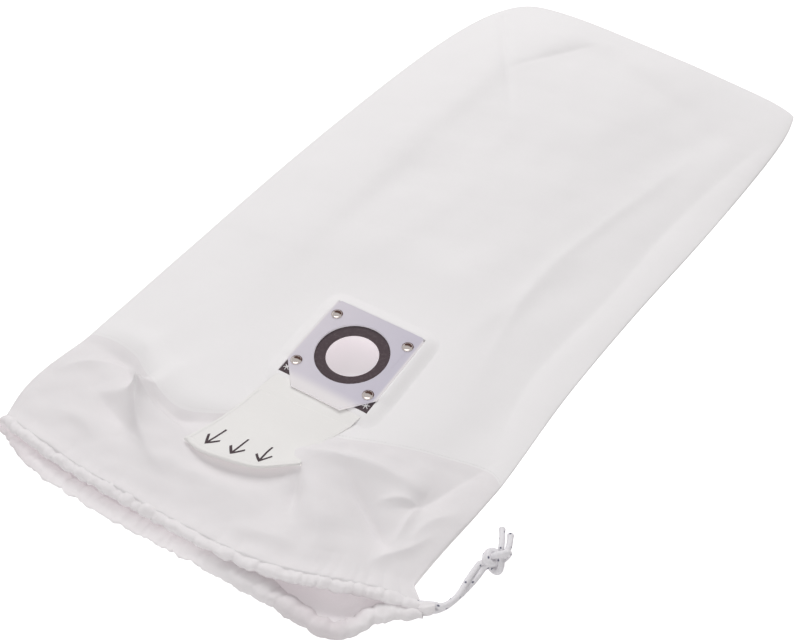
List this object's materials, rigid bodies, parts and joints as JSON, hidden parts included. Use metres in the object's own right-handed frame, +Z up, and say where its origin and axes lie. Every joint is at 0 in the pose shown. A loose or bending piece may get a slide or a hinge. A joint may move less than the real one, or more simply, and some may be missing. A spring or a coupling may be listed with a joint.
{
  "type": "reusable dust extractor filter bag",
  "caption": "Reusable white cloth filter bag for a dust extractor, lying flat, with a riveted hose port, a pull tab and a drawstring mouth.",
  "frame": {"origin": "on the surface that the bag lies on, under the middle of the bag without its free cord", "axes": "+Z up, +Y towards the closed end, -Y towards the drawstring mouth, +X to the right"},
  "size_m": [0.4755, 0.832, 0.0541],
  "materials": {
    "fleece": "matte white nonwoven",
    "skirt_cloth": "thin crinkled cloth with a faint sheen",
    "tab_cloth": "matte white cloth",
    "plate_plastic": "semi-gloss translucent lilac grey",
    "rubber": "matte black rubber",
    "rivet_metal": "polished nickel",
    "cord": "braided white cord with dark flecks"
  },
  "bodies": {
    "bag": {"fleece_front": "fleece", "fleece_back": "fleece", "seam_allowance_left": "fleece", "seam_allowance_right": "fleece", "seam_allowance_end": "fleece", "reinforcing_patch": "fleece", "rubber_gasket": "rubber", "port_plate": "plate_plastic", "backing_plate": "plate_plastic", "rivet_1": "rivet_metal", "rivet_2": "rivet_metal", "rivet_3": "rivet_metal", "rivet_4": "rivet_metal", "rivet_washer_1": "rivet_metal", "rivet_washer_2": "rivet_metal", "rivet_washer_3": "rivet_metal", "rivet_washer_4": "rivet_metal", "skirt_back": "skirt_cloth", "hem_casing_back": "skirt_cloth", "drawstring_back": "cord", "cord_exit_sleeve": "skirt_cloth"},
    "mouth_lip": {"skirt_front": "skirt_cloth", "hem_casing_front": "skirt_cloth", "drawstring_front": "cord"},
    "tab": {"pull_tab": "tab_cloth"},
    "drawstring": {"cord_strand_left": "cord", "cord_strand_right": "cord", "cord_knot": "cord", "cord_end_left": "cord", "cord_end_right": "cord"}
  },
  "joints": [
    {"name": "mouth_opening", "type": "hinge", "parent": "bag", "child": "mouth_lip", "pos_m": [0, -0.2398, 0.0375], "axis": [-0.9824, -0.1867, 0], "range_deg": [0, 20]},
    {"name": "tab_lift", "type": "hinge", "parent": "mouth_lip", "child": "tab", "pos_m": [0, -0.2398, 0.0375], "axis": [-0.9824, -0.1867, 0], "range_deg": [0, 110]},
    {"name": "drawstring_pull", "type": "slide", "parent": "bag", "child": "drawstring", "axis": [0.87, 0.493, 0], "range_m": [0, 0.012]}
  ]
}
